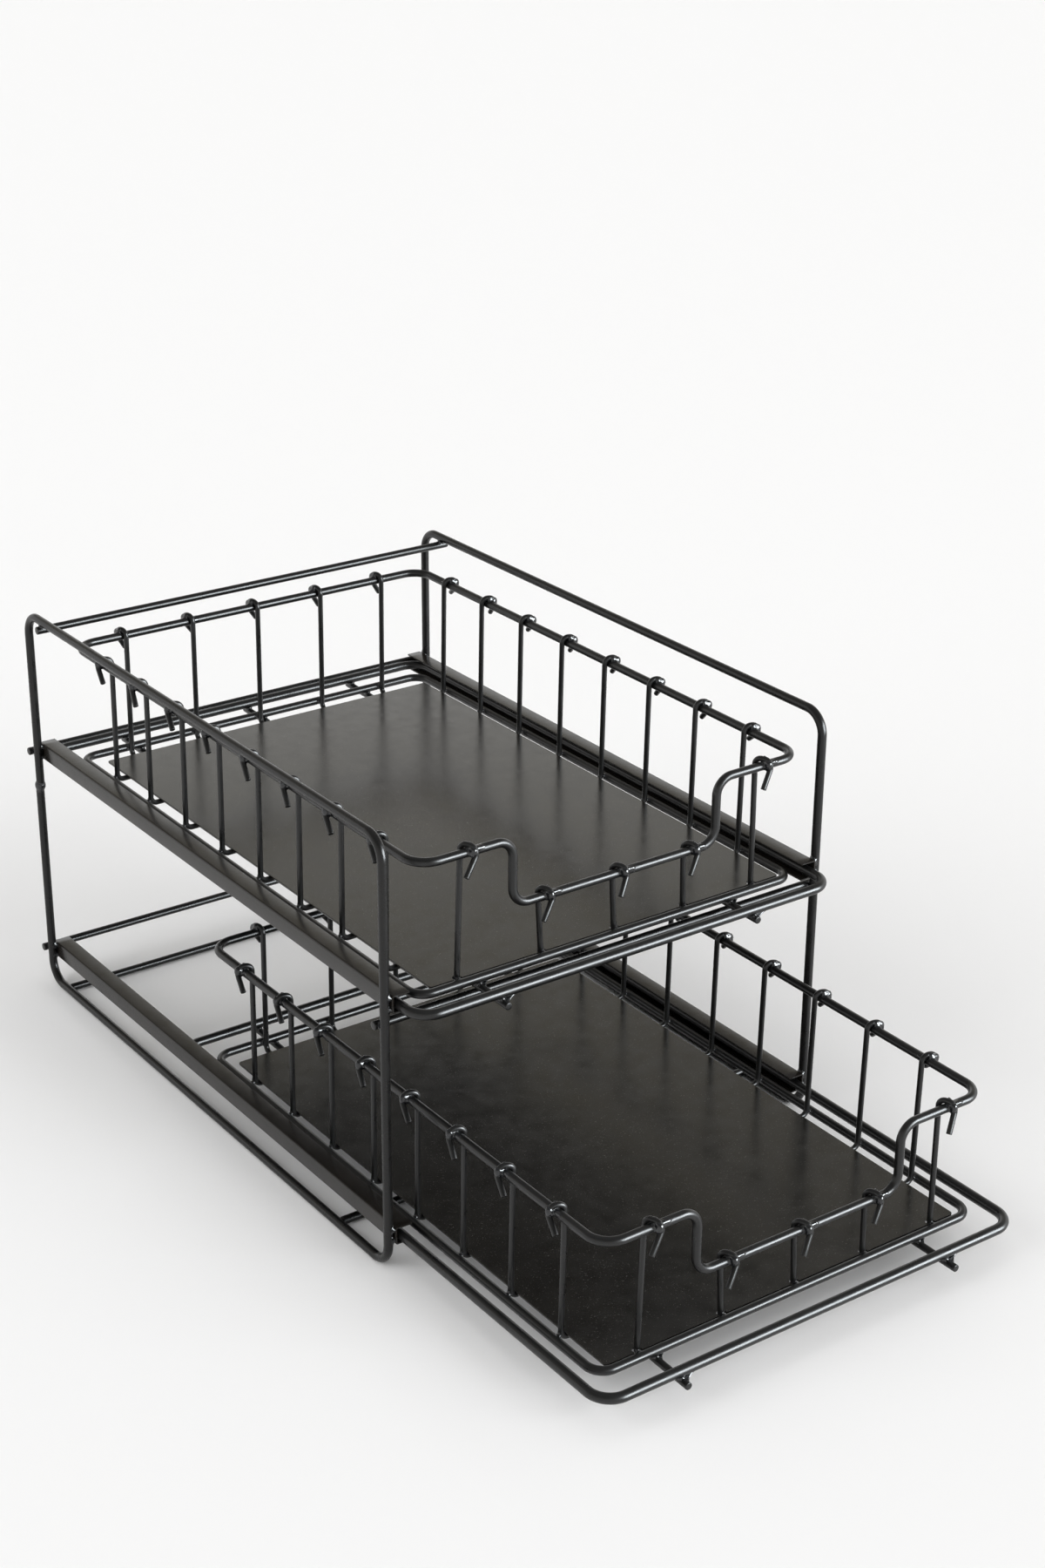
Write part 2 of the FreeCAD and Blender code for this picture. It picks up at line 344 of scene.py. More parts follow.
def wavy(points, seed, size=1.0):
    """Smooth noise, roughly from -1 to 1, at each point, from a few plane waves."""
    rng = np.random.default_rng(seed)
    total = np.zeros(len(points))
    for octave in WAVE_OCTAVES:
        for _ in range(WAVES_EACH):
            wave = rng.normal(size=3) * octave / size
            total += np.sin(points @ wave + rng.uniform(0, WAVE_STARTS)) / octave
    return total / WAVE_HEIGHT


# weld metal: how far its skin lies inside the blended shape, how much its width and its
# skin vary with the noise, the noise's fineness, and the steps of the search for its skin
MELT_SINK = 0.035
MELT_VARY = 0.3
MELT_WAVES = 1.6
MELT_STEPS = 25
MELT_HALVINGS = 12


def melt(shells, centre, solids, blend, reach, seed, level=WELD_LEVEL, rough=0.12):
    """Weld metal between wires: the surface where the wires' shapes run together.

    solids are (start, end, radius) of round bars; a ball has start equal to end. Each
    point of a sphere about the centre is moved out until it leaves the blended shape.
    """
    rays, faces = SPHERES[level]
    centre = np.array(centre, float)
    noise = wavy(rays * MELT_WAVES, seed)
    width = blend * (1 + MELT_VARY * noise)

    def distance(points, start, end, radius):
        start = np.array(start, float)
        run = np.array(end, float) - start
        square = max(run @ run, 1e-9)
        share = np.clip((points - start) @ run / square, 0, 1)
        return np.linalg.norm(points - start - share[:, None] * run, axis=1) - radius

    def outside(points):
        total = distance(points, *solids[0])
        for solid in solids[1:]:
            gap = distance(points, *solid)
            near = np.maximum(width - np.abs(total - gap), 0) / width
            total = np.minimum(total, gap) - near * near * width / 4
        return total + MELT_SINK + rough * MELT_VARY * noise > 0

    low = np.zeros(len(rays))
    high = np.full(len(rays), reach)
    for share in np.linspace(1 / MELT_STEPS, 1, MELT_STEPS):
        fresh = outside(centre + rays * reach * share) & (high >= reach)
        high[fresh] = reach * share
        low[fresh] = reach * (share - 1 / MELT_STEPS)
    for _ in range(MELT_HALVINGS):
        middle = (low + high) / 2
        out = outside(centre + rays * middle[:, None])
        high = np.where(out, middle, high)
        low = np.where(out, low, middle)
    shells.add(centre + rays * ((low + high) / 2)[:, None], faces, WELD_SLOT)


WEB_COLUMNS, WEB_ROWS = 12, 6
# how far the web's hollow edge is drawn in toward its root
WEB_HOLLOW = 0.55
# its thickness at the root and what it loses on the way out, as shares, and its waviness
WEB_ROOT, WEB_TAPER, WEB_WAVE = 1.15, 0.85, 0.15


def web(shells, root, tip, foot, thick, seed):
    """A thin sail of weld metal: from the root out to a hollow edge between tip and foot."""
    root, tip, foot = (np.array(p, float) for p in (root, tip, foot))
    normal = unit(np.cross(tip - root, foot - root))
    pull = root * WEB_HOLLOW + (tip + foot) * (1 - WEB_HOLLOW) / 2
    grid = []
    for s in np.linspace(0, 1, WEB_COLUMNS + 1):
        edge = tip * (1 - s) ** 2 + pull * 2 * s * (1 - s) + foot * s * s
        grid += [root + (edge - root) * (j / WEB_ROWS) for j in range(1, WEB_ROWS + 1)]
    grid = np.array(grid)
    out = np.tile(np.arange(1, WEB_ROWS + 1) / WEB_ROWS, WEB_COLUMNS + 1)
    half = (thick / 2 * (WEB_ROOT - WEB_TAPER * out ** 1.5)
            * (1 + WEB_WAVE * wavy(grid, seed, 2.0)))
    points = np.concatenate([grid + normal * half[:, None], grid - normal * half[:, None],
                             [root + normal * thick / 2, root - normal * thick / 2]])
    side = len(grid)
    top, bottom = 2 * side, 2 * side + 1
    faces = []
    for k in range(WEB_COLUMNS):
        a, b = k * WEB_ROWS, (k + 1) * WEB_ROWS
        faces += [(top, a, b), (bottom, b + side, a + side)]
        for _ in range(WEB_ROWS - 1):
            faces += [(a, a + 1, b + 1, b), (a + side, b + side, b + 1 + side, a + 1 + side)]
            a, b = a + 1, b + 1
        faces.append((a, a + side, b + side, b))
    for k, flip in ((0, False), (WEB_COLUMNS, True)):
        chain = [(top, bottom)]
        chain += [(k * WEB_ROWS + j, k * WEB_ROWS + j + side) for j in range(WEB_ROWS)]
        for (a, a2), (b, b2) in zip(chain, chain[1:]):
            faces.append((b, b2, a2, a) if flip else (a, a2, b2, b))
    shells.add(points, faces, WELD_SLOT)


# ---------------------------------------------------------------- materials

# noise scales, in cells to a metre, and the shares that the noise moves a value between
PATCH_SCALE = 38.0
PATCH_SHADES = (0.78, 1.3)
SHEEN_SCALE = 120.0
SHEEN_SHARES = (0.82, 1.2)
# fine pale specks, where the noise is above the first of these values
DUST_SCALE = 1500.0
DUST_FROM = (0.68, 0.78)
DUST_COLOUR = (0.42, 0.40, 0.37, 1)


def material(name, colour, roughness, ior, grain, dust=0.0):
    """Black finish: base colour, gloss, and bump from one or two sizes of noise."""
    made = bpy.data.materials.new(name)
    made.use_nodes = True
    nodes, links = made.node_tree.nodes, made.node_tree.links
    shader = nodes["Principled BSDF"]
    shader.inputs["IOR"].default_value = ior
    place = nodes.new("ShaderNodeTexCoord")

    def noise(scale, detail):
        node = nodes.new("ShaderNodeTexNoise")
        node.inputs["Scale"].default_value = scale
        node.inputs["Detail"].default_value = detail
        links.new(place.outputs["Object"], node.inputs["Vector"])
        return node.outputs["Fac"]

    def ramp(source, low, high, start=0.3, end=0.7):
        node = nodes.new("ShaderNodeMapRange")
        node.inputs["From Min"].default_value = start
        node.inputs["From Max"].default_value = end
        node.inputs["To Min"].default_value = low
        node.inputs["To Max"].default_value = high
        links.new(source, node.inputs["Value"])
        return node.outputs["Result"]

    patches = nodes.new("ShaderNodeMix")
    patches.data_type = "RGBA"
    for socket, share in zip("AB", PATCH_SHADES):
        patches.inputs[socket].default_value = (*[c * share for c in colour], 1)
    links.new(ramp(noise(PATCH_SCALE, detail=3.0), 0.0, 1.0), patches.inputs["Factor"])
    shade = patches.outputs["Result"]
    if dust:
        specks = nodes.new("ShaderNodeMix")
        specks.data_type = "RGBA"
        specks.inputs["B"].default_value = DUST_COLOUR
        links.new(shade, specks.inputs["A"])
        links.new(ramp(noise(DUST_SCALE, detail=1.0), 0.0, dust, *DUST_FROM),
                  specks.inputs["Factor"])
        shade = specks.outputs["Result"]
    links.new(shade, shader.inputs["Base Color"])
    sheen = ramp(noise(SHEEN_SCALE, detail=4.0), *[roughness * share for share in SHEEN_SHARES])
    links.new(sheen, shader.inputs["Roughness"])
    below = None
    for scale, depth in grain:
        bump = nodes.new("ShaderNodeBump")
        bump.inputs["Strength"].default_value = 1.0
        bump.inputs["Distance"].default_value = depth * MM
        links.new(noise(scale, detail=2.0), bump.inputs["Height"])
        if below:
            links.new(below, bump.inputs["Normal"])
        below = bump.outputs["Normal"]
    links.new(below, shader.inputs["Normal"])
    return made


# grain is (noise scale, bump depth in millimetres) for each size
FRAME_COAT = material("gloss_coat_frame", (0.0045, 0.0043, 0.0042), 0.29, 1.42,
                      ((700.0, 0.03), (2600.0, 0.006)))
BASKET_COAT = material("gloss_coat_basket", (0.0045, 0.0045, 0.0045), 0.31, 1.48,
                       ((800.0, 0.03), (2800.0, 0.006)))
WELD_COAT = material("gloss_coat_on_weld", (0.006, 0.0065, 0.0075), 0.14, 1.6,
                     ((900.0, 0.12), (350.0, 0.2)))
RAIL_COAT = material("satin_coat_rail", (0.0085, 0.0072, 0.006), 0.22, 1.45,
                     ((500.0, 0.03), (2400.0, 0.008)))
LINER_SKIN = material("liner_skin", (0.0105, 0.0098, 0.0085), 0.22, 1.56,
                      ((1900.0, 0.012),), dust=0.18)


# ---------------------------------------------------------------- one wire basket

# welds of crossing wires: the half length of wire that is melted in, the blend's width, and
# how far the metal may reach
FLOOR_WELD = (6, 1.1, 2.6)
ROD_WELD = (6, 1.2, 3.0)
RING_WELD = (9, 1.8, 4.6)
FOOT_WELD = (9, 1.9, 5.0)
# The crosswise wires run slightly askew, from the left feet to the right ones. Where one is
# welded between them, a share of its feet's shift and a little more put the weld on it.
LONG_WIRES_TO_SIDE = 2.6
LONG_ASKEW = 1.0
ROD_ASKEW_SHARE = 0.7
ROD_ASKEW = 0.6
# at a foot: where on the leg the metal starts and ends, and how far up its middle is
SIDE_FOOT_SPAN, END_FOOT_SPAN = (1.5, 12), (-1.0, 12)
SIDE_FOOT_LIFT, END_FOOT_LIFT = 0.6, 0.2

# a hook's weld on the rim, and the tapering bead of balls beside it; a weld is its blend's
# width and how far it may reach
FRONT_WELD_SHIFT = 3.0
HOOK_WELD_BAR = 14
COLLAR_SHARE = 0.6
COLLAR_WELD = (2.2, 4.6)
# the hook inside the collar, simplified: its thickness as a share of the wire's, how far up
# its top's two ends are, and how far up and down its side runs
COLLAR_HOOK = 0.9
COLLAR_HOOK_TOP = (0.3, 1.5)
COLLAR_HOOK_SIDE = (2.5, -2.0)
BEAD_WELD = (0.5, 5.4)
# the bead's way off the rim, outward and up
BEAD_WAY = (0.75, 0.66)
BEAD_BALLS = 5
BEAD_START = 2.7
BEAD_STEP = 1.2
BEAD_MIDDLE = 4.8
BEAD_BALL = 1.5
BEAD_TAPER = 0.14
BEAD_SINK = 0.55
SMALL_BEAD, LARGE_BEAD = 0.8, 1.0


# Thin sails that the front welds have run out into, beside a tie rod: the offsets of the
# sail's root and tip from the rod and of its foot from the ring's underside, and its thickness.
RUNNER_SAIL = ((0.6, 0.5, 0.8), (1.2, 0.4, -1.2), (8.5, -1.2, 0.4), 2.0)
BASE_SAIL = ((0.6, 0.0, 0.8), (1.4, -6.0, 0.2), (6.0, -0.6, 0.5), 1.6)


class Loop:
    """A flat wire ring, measured on its CAD node's box."""

    def __init__(self, node):
        low, high = corners(node)
        self.radius = (high[2] - low[2]) / 2
        self.level = (high[2] + low[2]) / 2
        self.half_width = high[0] - self.radius
        self.front = low[1] + self.radius
        self.back = high[1] - self.radius

    def line(self, bend):
        side, front, back, level = self.half_width, self.front, self.back, self.level
        return rounded([(-side, front, level), (side, front, level),
                        (side, back, level), (-side, back, level)], [bend] * 4, closed=True)


class Rod:
    """A tie rod's ends, level and radius, measured on its CAD node's box."""

    def __init__(self, tier, name, side):
        low, high = corners(f"{tier}_{name}")
        self.radius = (high[2] - low[2]) / 2
        self.level = (high[2] + low[2]) / 2
        self.tip, self.tail = low[1], high[1]
        self.tip_x = TIE_TIP_X[tier][side] if side else (low[0] + high[0]) / 2
        self.tail_x = side * TIE_BACK_X if side else self.tip_x

    def x(self, y):
        return between(self.tip_x, self.tail_x, (y - self.tip) / (self.tail - self.tip))


def even_places(count, pitch, middle=0.0):
    return [middle + (k - (count - 1) / 2) * pitch for k in range(count)]


def crossing(shells, place, across, along, size, seed, last_y=math.inf):
    """Weld metal where a wire across, given as (level, radius), passes one along."""
    x, y, _ = place
    run, blend, reach = size
    melt(shells, place, [
        ((x - run, y, across[0]), (x + run, y, across[0]), across[1]),
        ((x, y - run, along[0]), (x, min(y + run, last_y), along[0]), along[1]),
    ], blend, reach, seed)


class Basket:
    """One basket's measures, and the pieces that it is made of."""

    def __init__(self, tier, seed):
        self.tier = tier
        self.rng = np.random.default_rng(seed)
        self.runner = Loop(tier + "_runner_ring")
        self.base = Loop(tier + "_base_ring")
        low, high = corners(tier + "_top_rim")
        ring_r = self.base.radius
        self.rim_level, self.dip_level = high[2] - ring_r, low[2] + ring_r
        self.rim_front, self.rim_back = low[1] + ring_r, high[1] - ring_r
        low, high = corners(tier + "_floor_cross_wires")
        self.wire_r = (high[2] - low[2]) / 2
        self.cross_level = (low[2] + high[2]) / 2
        low, high = corners(tier + "_floor_long_wires")
        self.long_level = (low[2] + high[2]) / 2
        # from the middle of a ring's wire to the middle of a thin wire that touches it
        self.beside = ring_r + self.wire_r
        self.stations = even_places(SIDE_COUNT, SIDE_PITCH,
                                    (self.rim_front + self.rim_back) / 2)
        self.front_hooks = even_places(END_COUNT, FRONT_HOOK_PITCH)
        self.rear_places = even_places(END_COUNT, REAR_PITCH)

    def seed(self):
        return self.rng.integers(SEED_RANGE)

    def make(self, shells, piece, *nodes):
        shells.make(f"{self.tier}_{piece}", [BASKET_COAT, WELD_COAT], self.tier + "_basket",
                    "basket_wire", *[f"{self.tier}_{node}" for node in nodes])

    def front_level(self, index):
        return self.dip_level if index in DIP_UPRIGHTS else self.rim_level

    def rings(self):
        for node, loop, bend, sides in (("runner_ring", self.runner, RUNNER_BEND, 28),
                                        ("base_ring", self.base, BASE_BEND, 24)):
            shells = Shells()
            tube(shells, loop.line(bend), loop.radius, closed=True, sides=sides)
            self.make(shells, node + "_wire", node)

    def hooked_wires(self):
        """The U-shaped wires across and along the basket, each hooked at both ends."""
        crosswise, lengthwise = Shells(), Shells()
        side_x = self.base.half_width
        for y in self.stations:
            left, right = (
                self.leg((side * (side_x - self.beside), y + SIDE_FOOT_SHIFT[side],
                          self.cross_level),
                         (side * side_x, y + SIDE_HOOK_SHIFT[side], self.rim_level),
                         side * ALONG_X, ALONG_Y, -side * SIDE_SKEW, side * SIDE_TAIL_SKEW,
                         SIDE_TAIL)
                for side in (-1, 1))
            self.hooked_wire(crosswise, left, right)
        for index in range(END_COUNT):
            hook_x, rear_x = self.front_hooks[index], self.rear_places[index]
            near = self.leg(
                (FRONT_FEET[index], self.base.front + self.beside, self.long_level),
                (hook_x, self.rim_front, self.front_level(index)),
                -ALONG_Y, ALONG_X, FRONT_SKEW, FRONT_TAIL_SKEW, END_TAIL)
            far = self.leg(
                (rear_x, self.base.back - self.beside, self.long_level),
                (rear_x, self.rim_back, self.rim_level),
                ALONG_Y, ALONG_X, REAR_SKEW, REAR_TAIL_SKEW, END_TAIL)
            self.hooked_wire(lengthwise, near, far)
        return crosswise, lengthwise

    def leg(self, foot, top, outward, along, skew, tail_skew, tail_reach):
        """Corner points and bends of one leg, from the floor to the end of its hook's tail."""
        foot, top = np.array(foot, float), np.array(top, float)
        uniform = self.rng.uniform
        skew += uniform(-SKEW_SPREAD, SKEW_SPREAD)
        tail_skew += uniform(-TAIL_SKEW_SPREAD, TAIL_SKEW_SPREAD)
        out = tail_reach[0] + uniform(*TAIL_OUT_SPREAD)
        down = tail_reach[1] + uniform(*TAIL_DOWN_SPREAD)
        inside = top - outward * self.beside + UP * self.beside
        outside = top + outward * self.beside + along * skew
        tail = top + outward * out + along * tail_skew - UP * down
        points = [foot, inside, outside + UP * self.beside, outside - UP * HOOK_DROP, tail]
        turn = HOOK_TURN * self.beside
        return points, [FOOT_BEND, turn, turn, TAIL_BEND]

    def hooked_wire(self, shells, first, second):
        """One wire from hook to hook, by way of the floor."""
        points = first[0][::-1] + second[0]
        bends = first[1][::-1] + second[1]
        tube(shells, rounded(points, bends, arc_step=8.0), self.wire_r, sides=20, rounding=0.3)

    def rim(self):
        """The top rim with its dip in front, and the welds where the hooks go over it."""
        edge, dip, front, back = (self.base.half_width, DIP_HALF_WIDTH,
                                  self.rim_front, self.rim_back)
        high, low = self.rim_level, self.dip_level
        line = rounded([
            (-edge, front, high), (-dip, front, high), (-dip, front, low), (dip, front, low),
            (dip, front, high), (edge, front, high), (edge, back, high), (-edge, back, high),
        ], [RIM_BEND] + [DIP_BEND] * 4 + [RIM_BEND] * 3, closed=True)
        shells = Shells()
        tube(shells, line, self.base.radius, closed=True)
        for y in self.stations:
            for side in (-1, 1):
                hook_y = y + SIDE_HOOK_SHIFT[side] - side * SIDE_SKEW
                self.hook_weld(shells, (side * edge, hook_y, high), side * ALONG_X,
                               side * ALONG_Y, SMALL_BEAD)
        for index in range(END_COUNT):
            front_x = self.front_hooks[index] + FRONT_WELD_SHIFT
            self.hook_weld(shells, (front_x, front, self.front_level(index)), -ALONG_Y,
                           ALONG_X, LARGE_BEAD)
            rear_x = self.rear_places[index] + REAR_SKEW
            self.hook_weld(shells, (rear_x, back, high), ALONG_Y, ALONG_X, SMALL_BEAD)
        self.make(shells, "top_rim_wire", "top_rim")

    def hook_weld(self, shells, at, outward, along, size):
        """The hook's collar run together with the rim, and a short bead beside it."""
        at = np.array(at, float)
        ring_r, wire_r, beside = self.base.radius, self.wire_r, self.beside
        seed = self.seed()
        bar = (at - along * HOOK_WELD_BAR, at + along * HOOK_WELD_BAR, ring_r)
        over, out = at + UP * beside, at + outward * beside
        collar = at + outward * ring_r * COLLAR_SHARE + UP * ring_r * COLLAR_SHARE
        hook_r, top, side = wire_r * COLLAR_HOOK, COLLAR_HOOK_TOP, COLLAR_HOOK_SIDE
        melt(shells, collar, [
            bar, (over + UP * top[0], out + UP * top[1], hook_r),
            (out + UP * side[0], out + UP * side[1], hook_r),
        ], *COLLAR_WELD, seed)
        start = at + (outward * BEAD_WAY[0] + UP * BEAD_WAY[1]) * (ring_r - BEAD_SINK)
        balls = []
        for k in range(BEAD_BALLS):
            centre = start + along * (BEAD_START + k * BEAD_STEP) * size
            balls.append((centre, centre, (BEAD_BALL - BEAD_TAPER * k) * size))
        melt(shells, at + along * BEAD_MIDDLE * size, [bar] + balls, *BEAD_WELD, seed + 1,
             rough=0.3)

    def foot_weld(self, shells, foot, inward, span, lift):
        """Weld metal where a leg passes the base ring."""
        on_ring = np.array([*foot, self.base.level])
        half_run, blend, reach = FOOT_WELD
        run = np.cross(UP, inward) * half_run
        leg = on_ring + inward * self.beside
        melt(shells, on_ring + inward * self.base.radius + UP * lift, [
            (on_ring - run, on_ring + run, self.base.radius),
            (leg + UP * span[0], leg + UP * span[1], self.wire_r),
        ], blend, reach, self.seed())

    def floor_welds(self, crosswise, lengthwise):
        """Welds at the feet and where the floor wires cross; then both sets of wires."""
        base = self.base
        cross, long = (self.cross_level, self.wire_r), (self.long_level, self.wire_r)
        for y in self.stations:
            for side in (-1, 1):
                self.foot_weld(crosswise, (side * base.half_width, y + SIDE_FOOT_SHIFT[side]),
                               -side * ALONG_X, SIDE_FOOT_SPAN, SIDE_FOOT_LIFT)
        for index in range(END_COUNT):
            front_x, rear_x = FRONT_FEET[index], self.rear_places[index]
            for foot, inward in (((front_x, base.front), ALONG_Y),
                                 ((rear_x, base.back), -ALONG_Y)):
                self.foot_weld(lengthwise, foot, inward, END_FOOT_SPAN, END_FOOT_LIFT)
            from_middle = index - (END_COUNT - 1) // 2
            side = -1 if from_middle < 0 else 1
            askew = SIDE_FOOT_SHIFT[side] * abs(from_middle) / LONG_WIRES_TO_SIDE
            for station in self.stations:
                y = station + askew + LONG_ASKEW
                x = between(front_x, rear_x, (y - base.front) / (base.back - base.front))
                crossing(lengthwise, (x, y, (self.cross_level + self.long_level) / 2),
                         cross, long, FLOOR_WELD, self.seed())
        self.make(crosswise, "crosswise_wires", "left_uprights", "right_uprights",
                  "floor_cross_wires")
        self.make(lengthwise, "lengthwise_wires", "front_uprights", "rear_uprights",
                  "floor_long_wires")

    def tie_rods(self):
        """The rods that tie the base ring to the runner ring, with their welds."""
        runner = (self.runner.level, self.runner.radius)
        base = (self.base.level, self.base.radius)
        for name, side in (("left_tie_rod", -1), ("right_tie_rod", 1), ("centre_tie_rod", 0)):
            rod = Rod(self.tier, name, side)
            shells = Shells()
            tube(shells, rounded([(rod.tip_x, rod.tip, rod.level),
                                  (rod.tail_x, rod.tail, rod.level)], []),
                 rod.radius, sides=20, rounding=0.55)
            self.rod_weld(shells, rod, self.runner.back, runner, RING_WELD)
            self.rod_weld(shells, rod, self.base.back, base, RING_WELD)
            if side:
                front = self.runner.front
                self.rod_weld(shells, rod, front, runner, RING_WELD)
                self.sail(shells, rod, front, rod.tip, runner, RUNNER_SAIL)
                front = self.base.front
                self.rod_weld(shells, rod, front, base, RING_WELD)
                self.sail(shells, rod, front, front, base, BASE_SAIL)
                for station in self.stations:
                    askew = SIDE_FOOT_SHIFT[side] * ROD_ASKEW_SHARE
                    self.rod_weld(shells, rod, station + askew + ROD_ASKEW,
                                  (self.cross_level, self.wire_r), ROD_WELD)
            self.make(shells, name + "_bar", name)

    def rod_weld(self, shells, rod, y, over, size):
        """Weld metal between a rod and a wire over it, given as (level, radius)."""
        crossing(shells, (rod.x(y), y, rod.level + rod.radius), over,
                 (rod.level, rod.radius), size, self.seed(), last_y=rod.tail)

    def sail(self, shells, rod, y, tip_y, over, shape):
        """A sail beside the rod, from the wire over it at y toward tip_y."""
        root, tip, foot, thick = shape
        x = rod.x(y)
        web(shells, np.array([x, y, rod.level]) + root, np.array([x, tip_y, rod.level]) + tip,
            np.array([x, y, over[0] - over[1]]) + foot, thick, self.seed())

    def liner(self):
        """The flat sheet, notched around the front wires' feet, with its edges eased."""
        low, high = corners(self.tier + "_liner")
        notch_back = self.base.front + self.beside + self.wire_r + NOTCH_ROOM
        front, back, half = low[1], high[1], NOTCH_WIDTH / 2
        outline = [(low[0], front, SHEET_CORNER)]
        for x in FRONT_FEET:
            outline += [(x - half, front, NOTCH_LIP), (x - half, notch_back, NOTCH_ROUND),
                        (x + half, notch_back, NOTCH_ROUND), (x + half, front, NOTCH_LIP)]
        outline += [(high[0], front, SHEET_CORNER), (high[0], back, SHEET_CORNER),
                    (low[0], back, SHEET_CORNER)]
        line = rounded([(x, y, 0) for x, y, _ in outline], [bend for _, _, bend in outline],
                       closed=True, arc_step=15.0, run_step=40.0)
        outward = np.cross(directions(line, True), UP)
        ease, slight = SHEET_EDGE, SHEET_EDGE * SHEET_EDGE_STEP
        profile = ((ease, low[2]), (slight, low[2] + slight), (0.0, low[2] + ease),
                   (0.0, high[2] - ease), (slight, high[2] - slight), (ease, high[2]))
        rings = [line - outward * inset + UP * z for inset, z in profile]
        count, last = len(line), (len(rings) - 1) * len(line)
        faces = band_faces(len(rings), count)
        faces += [tuple(range(count))[::-1], tuple(range(last, last + count))]
        shells = Shells()
        shells.add(np.concatenate(rings), faces)
        piece = shells.make(self.tier + "_liner_sheet", [LINER_SKIN], self.tier + "_basket",
                            "liner_sheet", self.tier + "_liner")
        flat_ends(piece)


def flat_ends(piece):
    """Flat shading for a piece's last two faces, its plane ends."""
    for face in piece.data.polygons[-2:]:
        face.use_smooth = False


def basket(tier, seed):
    parts = Basket(tier, seed)
    parts.rings()
    crosswise, lengthwise = parts.hooked_wires()
    parts.rim()
    parts.floor_welds(crosswise, lengthwise)
    parts.tie_rods()
    parts.liner()


# ---------------------------------------------------------------- the fixed frame

# nearer than this to the posts a cross wire is welded to them, and otherwise to a level run
POST_ZONE = 12
# Each weld is its blend's width and how far it may reach; the runs and bars are how much of
# each wire melts in, and the gap is how far short of its end a cross wire's part stays.
CROSS_WELD = (2.0, 5.0)
CROSS_WELD_RUN = 14
CROSS_WELD_BAR = 16
CROSS_WELD_GAP = 0.2
SPLICE_WELD = (1.6, 5.5)
SPLICE_WELD_RUN = 12
SPLICE_LEAN = 0.3
SPLICE_SWELL = 0.3
# a rail's weld beads: how far in from its edges, how far into the post, and half their length
RAIL_WELD = (2.2, 4.2)
RAIL_WELD_RUN = 8
RAIL_WELD_INSET = 2.0
RAIL_WELD_SINK = 0.2
RAIL_BEAD_OUT = 0.6
RAIL_BEAD_HALF = 2.2
RAIL_BEAD_RADIUS = 1.0


def fixed_frame():
    rng = np.random.default_rng(FRAME_SEED)
    low, high = corners("left_side_frame")
    post_x = -(low[0] + high[0]) / 2
    wire_r = -(low[1] + FRAME_DEPTH_HALF)
    bottom, top = wire_r, high[2] - wire_r
    for side, name in ((-1, "left_side_frame"), (1, "right_side_frame")):
        shells = Shells()
        side_ring(shells, side * post_x, wire_r, bottom, top, rng)
        for node in CROSS_NODES:
            cross_weld(shells, node, side, post_x, wire_r, (bottom, top), rng)
        for tier in ("upper", "lower"):
            rail_welds(shells, f"{tier}_{'left' if side < 0 else 'right'}_rail", side, post_x,
                       wire_r, rng)
        shells.make(name + "_wire", [FRAME_COAT, WELD_COAT], "frame", "frame_wire", name)
    for node in CROSS_NODES:
        y, z, reach, radius = cross_wire(node)
        shells = Shells()
        tube(shells, rounded([(-reach, y, z), (reach, y, z)], []), radius, sides=22,
             rounding=0.5)
        shells.make(node + "_bar", [FRAME_COAT, WELD_COAT], "frame", "frame_wire", node)
    for tier in ("upper", "lower"):
        channel(tier + "_left_rail", -1)
        channel(tier + "_right_rail", 1)


def side_ring(shells, x, wire_r, bottom, top, rng):
    """One side's closed ring, with the butt weld in its rear post."""
    deep, half_step, half_gap = FRAME_DEPTH_HALF, SPLICE_STEP / 2, SPLICE_GAP / 2
    line = rounded([
        (x, deep - half_step, SPLICE_HEIGHT + half_gap),
        (x, deep, top), (x, -deep, top), (x, -deep, bottom), (x, deep, bottom),
        (x, deep + half_step, SPLICE_HEIGHT - half_gap),
    ], [FRAME_BEND] * 4)
    tube(shells, line, wire_r, sides=28, rounding=0.6)
    at = np.array([x, deep, SPLICE_HEIGHT])
    upper_end = at + UP * SPLICE_WELD_RUN - ALONG_Y * SPLICE_LEAN
    lower_end = at - UP * SPLICE_WELD_RUN + ALONG_Y * SPLICE_LEAN
    melt(shells, at, [
        (at - ALONG_Y * half_step, upper_end, wire_r),
        (at + ALONG_Y * half_step, lower_end, wire_r),
        (at, at, wire_r + SPLICE_SWELL),
    ], *SPLICE_WELD, rng.integers(SEED_RANGE), level=SPLICE_LEVEL, rough=0.3)


def cross_wire(node):
    """A cross wire's place in depth and height, its reach to each side, and its radius."""
    low, high = corners(node)
    return (low[1] + high[1]) / 2, (low[2] + high[2]) / 2, high[0], (high[2] - low[2]) / 2


def cross_weld(shells, node, side, post_x, wire_r, levels, rng):
    """Weld metal where a cross wire meets a side ring, butted to it or laid on it."""
    y, z, reach, radius = cross_wire(node)
    butted = reach < post_x
    x = side * post_x
    at = np.array([side * (post_x - wire_r) if butted else x, y, z])
    if abs(y) < FRAME_DEPTH_HALF - POST_ZONE:
        level = max(levels) if z > sum(levels) / 2 else min(levels)
        on_ring, run = np.array([x, y, level]), ALONG_Y * CROSS_WELD_RUN
        if not butted:
            at[2] = (z + level) / 2
    else:
        on_ring = np.array([x, math.copysign(FRAME_DEPTH_HALF, y), z])
        run = UP * CROSS_WELD_RUN
        at[1] = (y + on_ring[1]) / 2
    end = np.array([side * (reach - radius - CROSS_WELD_GAP), y, z])
    melt(shells, at, [
        (on_ring - run, on_ring + run, wire_r),
        (end - side * ALONG_X * CROSS_WELD_BAR, end, radius),
    ], *CROSS_WELD, rng.integers(SEED_RANGE), rough=0.2)


